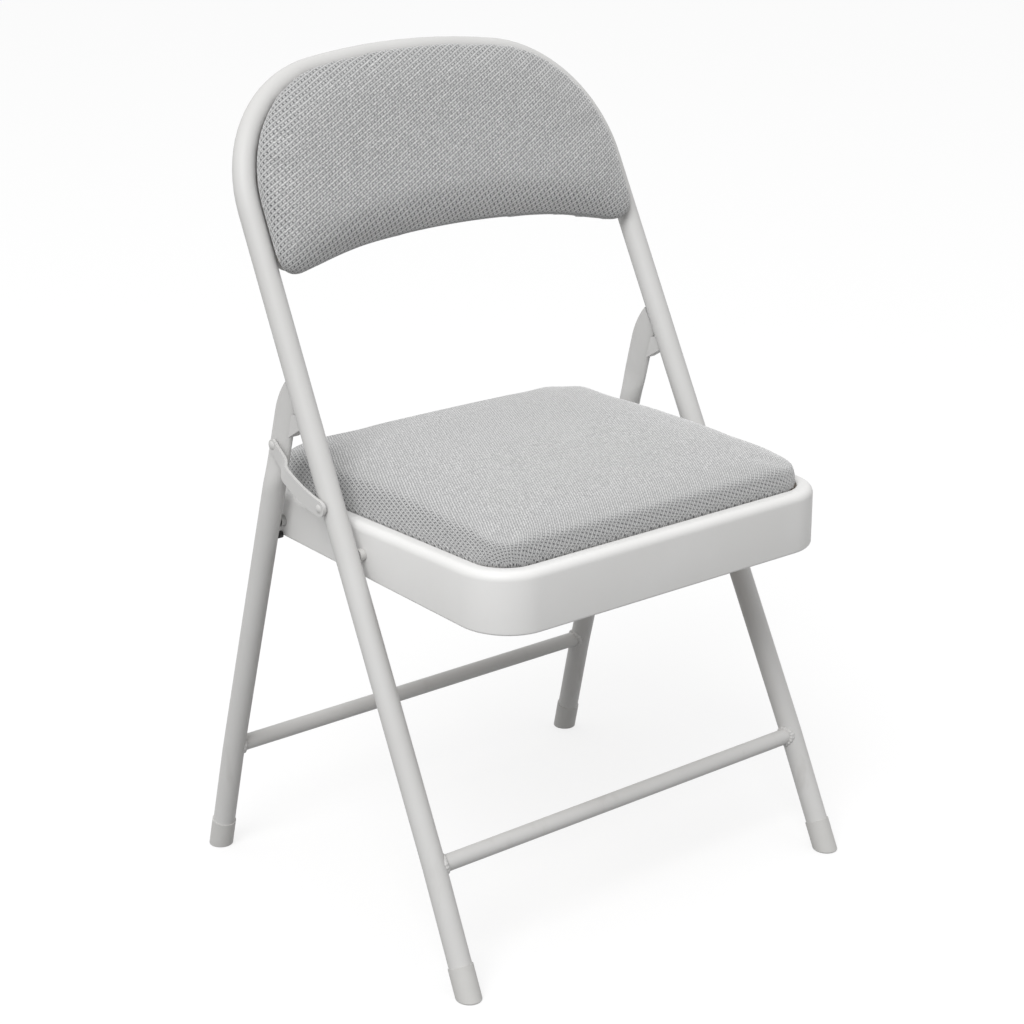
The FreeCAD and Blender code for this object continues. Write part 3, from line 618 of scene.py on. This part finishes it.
def plain_board(node, screws):
    """Copy of a board with its screw holes filled, grown by the pocket's clearance."""
    build = bmesh.new()
    build.from_mesh(NODES[node].data)
    bmesh.ops.remove_doubles(build, verts=build.verts, dist=MERGE)
    spots = screw_spots(screws)
    axis = thin_axis(node)

    def in_hole(vert):
        return any((vert.co - s - axis * (vert.co - s).dot(axis)).length < SCREW_REACH for s in spots)

    inner = [f for f in build.faces if all(in_hole(v) for v in f.verts)]
    bmesh.ops.delete(build, geom=inner, context="FACES")
    bmesh.ops.holes_fill(build, edges=[e for e in build.edges if e.is_boundary], sides=0)
    bmesh.ops.recalc_face_normals(build, faces=build.faces)
    build.normal_update()
    moves = [v.normal * POCKET_GAP for v in build.verts]
    for v, move in zip(build.verts, moves):
        v.co += move
    mesh = bpy.data.meshes.new(node + "_pocket")
    build.to_mesh(mesh)
    build.free()
    return bpy.data.objects.new(node + "_pocket", mesh)


def screw_spots(node):
    """Centre of each separate screw in a node."""
    build = bmesh.new()
    build.from_mesh(NODES[node].data)
    bmesh.ops.remove_doubles(build, verts=build.verts, dist=MERGE)
    left = set(build.verts)
    spots = []
    while left:
        group = {left.pop()}
        edge = list(group)
        while edge:
            for link in edge.pop().link_edges:
                for v in link.verts:
                    if v in left:
                        left.discard(v)
                        group.add(v)
                        edge.append(v)
        spots.append(sum((v.co for v in group), Vector()) / len(group))
    build.free()
    return spots


def thin_axis(node):
    """Direction through a flat board, from its largest face."""
    mesh = NODES[node].data
    return max(mesh.polygons, key=lambda f: f.area).normal.copy()


def cut_pocket(piece, node, screws):
    """Takes the board's space out of the pad."""
    board = plain_board(node, screws)
    bpy.context.scene.collection.objects.link(board)
    cut = piece.modifiers.new("pocket", "BOOLEAN")
    cut.operation = "DIFFERENCE"
    cut.solver = "EXACT"
    cut.object = board
    bake(piece)
    bpy.data.objects.remove(board)


def lay_weave(piece, right, up, out, crown, gape, bias):
    """Stores the cloth's own coordinates, turned by bias, and how much it gapes.

    Below the crown the cloth runs on over the edges, and it gapes more the further it turns from the face,
    where its openings get more painted shade.
    """
    mesh = piece.data
    face = max(v.co.dot(out) for v in mesh.vertices) - crown
    cloth = mesh.attributes.new("weave", "FLOAT_VECTOR", "POINT")
    c, s = math.cos(bias), math.sin(bias)
    for v, value in zip(mesh.vertices, cloth.data):
        facing = max(v.normal.dot(out), 0.0)
        reach = max(face - v.co.dot(out), 0.0) / (1 + facing)
        x = v.co.dot(right) + v.normal.dot(right) * reach
        y = v.co.dot(up) + v.normal.dot(up) * reach
        value.vector = (x * c + y * s, y * c - x * s, 1 - facing + gape)


def pad(name, body, soft, board, screws, form, freedom, settle, axes, *weave):
    """A stuffed piece that stands for its CAD pad."""
    piece = stuffed_form(name, soft, board)
    reshape(piece, form)
    iron(piece, axes[2], freedom)
    swell(piece, freedom, settle)
    smooth_once(piece)
    cut_pocket(piece, board, screws)
    lay_weave(piece, *axes, *weave)
    mesh = piece.data
    bpy.data.objects.remove(piece)
    made = new_piece(name, mesh, body, "woven_fabric")
    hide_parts(soft)
    return made


def seat_cushion():
    """Cushion with a full rim, whose top falls away to its front edge."""
    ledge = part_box("seat_pan")[1].z
    low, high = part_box("seat_cushion")
    axes = (Vector((1, 0, 0)), Vector((0, 1, 0)), Vector((0, 0, 1)))

    def form(p, normal):
        ahead = min(max((high.y - p.y) / (high.y - low.y), 0.0), 1.0)
        raised = min(max((p.z - ledge) / (high.z - ledge), 0.0), 1.0)
        rise = SEAT_FULLNESS * (high.z - ledge) * raised * (1 - raised)
        return p + axes[2] * (rise - FRONT_FALL * raised ** 2 * ahead ** FALL_POWER)

    made = pad(
        "seat_cushion_cover", "seat", "seat_cushion", "seat_board", "seat_screws", form,
        lambda p: ease(p.z, ledge + SEAT_HELD, ledge + SEAT_FREE), SEAT_SETTLE,
        axes, SEAT_CROWN, SEAT_GAPE, SEAT_BIAS)


def back_pad():
    """Pad whose rim is full and spreads over the front of the tube."""
    up = Vector((0, math.sin(FRONT_LEAN), math.cos(FRONT_LEAN)))
    out = Vector((0, -math.cos(FRONT_LEAN), math.sin(FRONT_LEAN)))
    front = max(v.co.dot(out) for v in NODES["back_board"].data.vertices)
    heights = [v.co.dot(out) for v in NODES["back_pad"].data.vertices]
    base, thick = min(heights), max(heights) - min(heights)

    def above_arc(p):
        return p.dot(up) + BACK_LOW_R - math.sqrt(BACK_LOW_R ** 2 - p.x ** 2)

    bottom = min(above_arc(v.co) for v in NODES["back_pad"].data.vertices)
    side = max(v.co.x for v in NODES["back_pad"].data.vertices)

    def form(p, normal):
        share = min(max((p.dot(out) - base) / thick, 0.0), 1.0)
        aside = normal - out * normal.dot(out)
        upward = aside.dot(up)
        spread = Vector((aside.x * RIM_SPREAD, 0, 0)) + up * (max(upward, 0.0) * TOP_SPREAD)
        spread *= ease(share, SPREAD_FROM, SPREAD_FULL)
        corner = ease(abs(p.x), side - CORNER_RUN, side - CORNER_END)
        corner *= ease(-upward, CORNER_FROM, CORNER_FULL)
        rise = RIM_FULLNESS * share * share * (1 - share)
        low = min(max(1 - (above_arc(p) - bottom) / ROLL_HEIGHT, 0.0), 1.0)
        fall = ROLL_DEPTH * low * low * ease(share, ROLL_FROM, ROLL_FULL)
        return p + out * thick * (rise - fall) + spread - up * CORNER_DROP * corner

    made = pad(
        "back_pad_cover", "frame", "back_pad", "back_board", "back_screws", form,
        lambda p: ease(p.dot(out), front - BACK_HELD, front + BACK_FREE), BACK_SETTLE,
        (Vector((1, 0, 0)), up, out), BACK_CROWN, BACK_GAPE, BACK_BIAS)


def sky():
    """White surroundings to the camera, that light the chair mostly from above."""
    world = bpy.data.worlds.new("studio")
    bpy.context.scene.world = world
    world.use_nodes = True
    nodes = Nodes(world.node_tree)
    direction = nodes.add("TexCoord").node.outputs["Generated"]
    height = nodes.add("SeparateXYZ", {"Vector": direction}).node.outputs["Z"]
    light = nodes.add("MapRange", {"Value": height, "To Min": SKY_LOW, "To Max": SKY_HIGH})
    background = nodes.tree.nodes["Background"].inputs
    nodes.put(background["Color"], (1, 1, 1, 1))
    nodes.put(background["Strength"], nodes.add("Mix", {0: nodes.seen(), 2: light, 3: 1.0}))


def studio():
    """Pale floor, sky and one wide soft lamp from the upper left."""
    bpy.ops.mesh.primitive_circle_add(vertices=96, radius=14.0, fill_type="NGON")
    floor = bpy.context.object
    floor.name = "floor"
    floor.data.materials.append(floor_material())
    sky()
    lamp = bpy.data.lights.new("key", "AREA")
    lamp.shape = "DISK"
    lamp.size = LAMP_SIZE
    lamp.energy = LAMP_POWER
    key = bpy.data.objects.new("key", lamp)
    key.location = LAMP_AT
    key.rotation_mode = "QUATERNION"
    key.rotation_quaternion = (LAMP_AIM - LAMP_AT).to_track_quat("-Z", "Y")
    bpy.context.scene.collection.objects.link(key)


def camera():
    """Camera with the photograph's view and framing."""
    data = bpy.data.cameras.new("photo_view")
    data.sensor_fit = "HORIZONTAL"
    data.sensor_width = SENSOR_MM
    data.lens = FOCAL_PX / IMAGE_PX * SENSOR_MM
    data.shift_x = 0.5 - OPTICAL_CENTRE_PX[0] / IMAGE_PX
    data.shift_y = OPTICAL_CENTRE_PX[1] / IMAGE_PX - 0.5
    view = bpy.data.objects.new("photo_view", data)
    view.location = CAMERA_AT
    view.rotation_euler = (math.pi / 2 - CAMERA_PITCH, 0, -CAMERA_YAW)
    bpy.context.scene.collection.objects.link(view)
    bpy.context.scene.camera = view


bpy.context.scene.view_settings.view_transform = "Standard"
camera()
studio()
dress_nodes()
for end, side in (("left", -1), ("right", 1)):
    weld_bead("weld_front_" + end, "frame", "front_crossbar", side, FRONT_LEAN)
    weld_bead("weld_rear_" + end, "rear_legs", "rear_crossbar", side, REAR_LEAN)
seat_pan()
seat_cushion()
back_pad()
